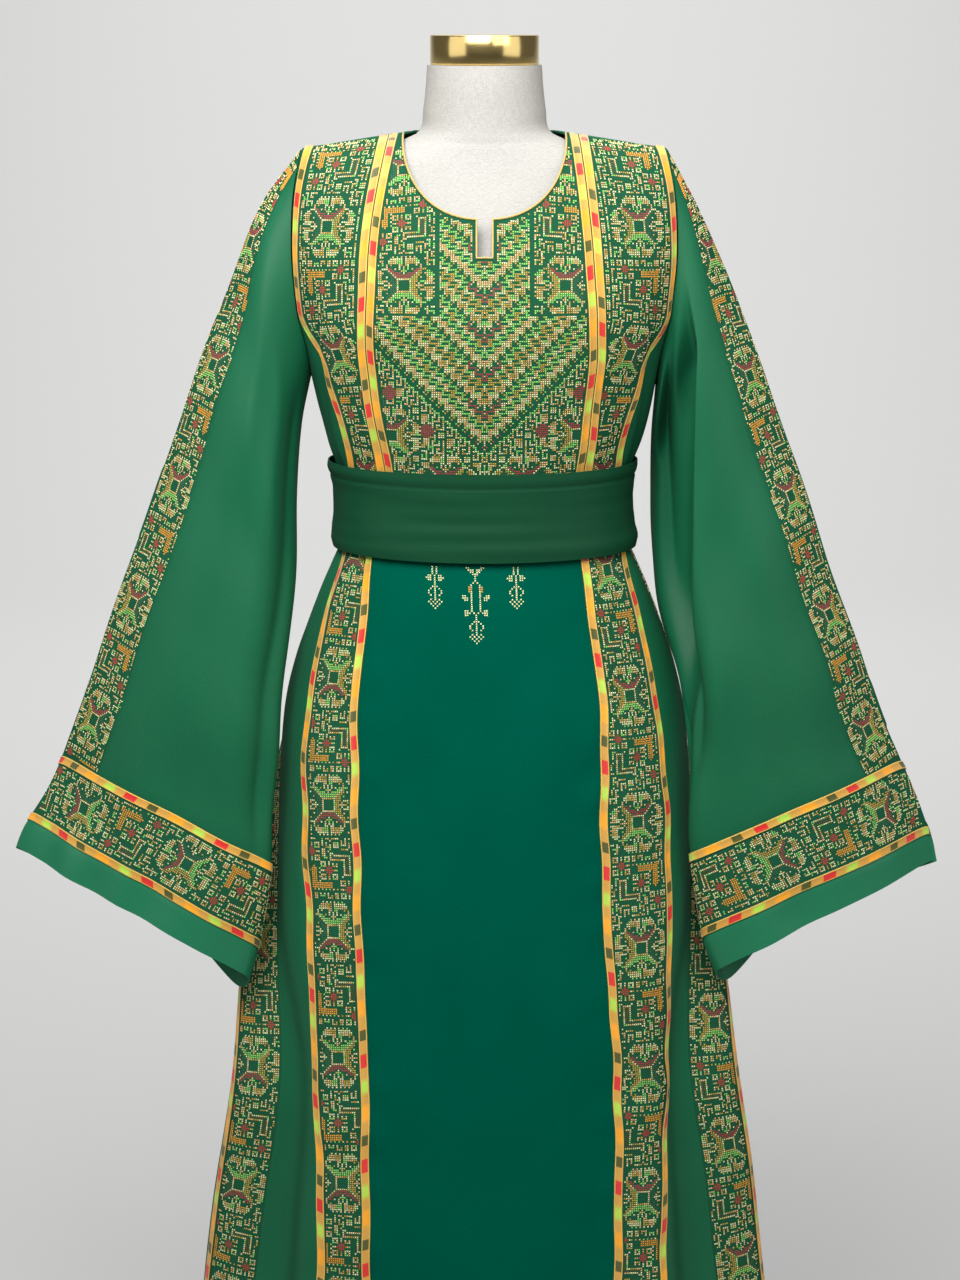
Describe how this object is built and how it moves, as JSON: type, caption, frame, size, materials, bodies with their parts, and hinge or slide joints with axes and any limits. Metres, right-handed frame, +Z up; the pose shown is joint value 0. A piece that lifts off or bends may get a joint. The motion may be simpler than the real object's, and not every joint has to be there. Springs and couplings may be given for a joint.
{
  "type": "embroidered thobe dress on a limbless dress form",
  "caption": "Long belted green dress with wide sleeves, cross-stitched bands and woven ribbon trims, on a limbless cloth dress form with a capped neck, a pole and a round base.",
  "frame": {"origin": "centre of the stand's round base, on the floor", "axes": "+Z up, -Y to the front of the dress, +X to the wearer's left"},
  "size_m": [0.9114, 0.479, 1.545],
  "materials": {
    "satin": "soft satin",
    "plain_green": "matt crepe",
    "embroidered_cloth": "matt cotton cross-stitch on green cloth",
    "ribbon": "woven ribbon with a soft shine",
    "form_cloth": "off-white slubbed cloth",
    "gold": "polished",
    "pole_steel": "bright",
    "base_steel": "satin white paint"
  },
  "bodies": {
    "root": {"dress_form": "form_cloth", "neck_cap": "gold", "stand_pole": "pole_steel", "stand_base": "base_steel", "front_yoke": "embroidered_cloth", "bodice_back": "satin", "belt": "satin", "skirt_front_panel": "plain_green", "neck_binding": "ribbon", "bodice_front_right": "embroidered_cloth", "bodice_side_right": "satin", "skirt_front_band_right": "embroidered_cloth", "skirt_gore_right": "satin", "skirt_side_band_right": "embroidered_cloth", "skirt_back_right": "satin", "sleeve_band_right": "embroidered_cloth", "sleeve_front_right": "satin", "sleeve_back_right": "satin", "cuff_band_right": "embroidered_cloth", "sleeve_hem_right": "satin", "trim_yoke_right": "ribbon", "trim_front_right": "ribbon", "trim_armhole_right": "ribbon", "trim_skirt_inner_right": "ribbon", "trim_skirt_outer_right": "ribbon", "trim_skirt_side_right": "ribbon", "trim_cuff_top_right": "ribbon", "trim_cuff_bottom_right": "ribbon", "bodice_front_left": "embroidered_cloth", "bodice_side_left": "satin", "skirt_front_band_left": "embroidered_cloth", "skirt_gore_left": "satin", "skirt_side_band_left": "embroidered_cloth", "skirt_back_left": "satin", "sleeve_band_left": "embroidered_cloth", "sleeve_front_left": "satin", "sleeve_back_left": "satin", "cuff_band_left": "embroidered_cloth", "sleeve_hem_left": "satin", "trim_yoke_left": "ribbon", "trim_front_left": "ribbon", "trim_armhole_left": "ribbon", "trim_skirt_inner_left": "ribbon", "trim_skirt_outer_left": "ribbon", "trim_skirt_side_left": "ribbon", "trim_cuff_top_left": "ribbon", "trim_cuff_bottom_left": "ribbon"}
  },
  "joints": []
}
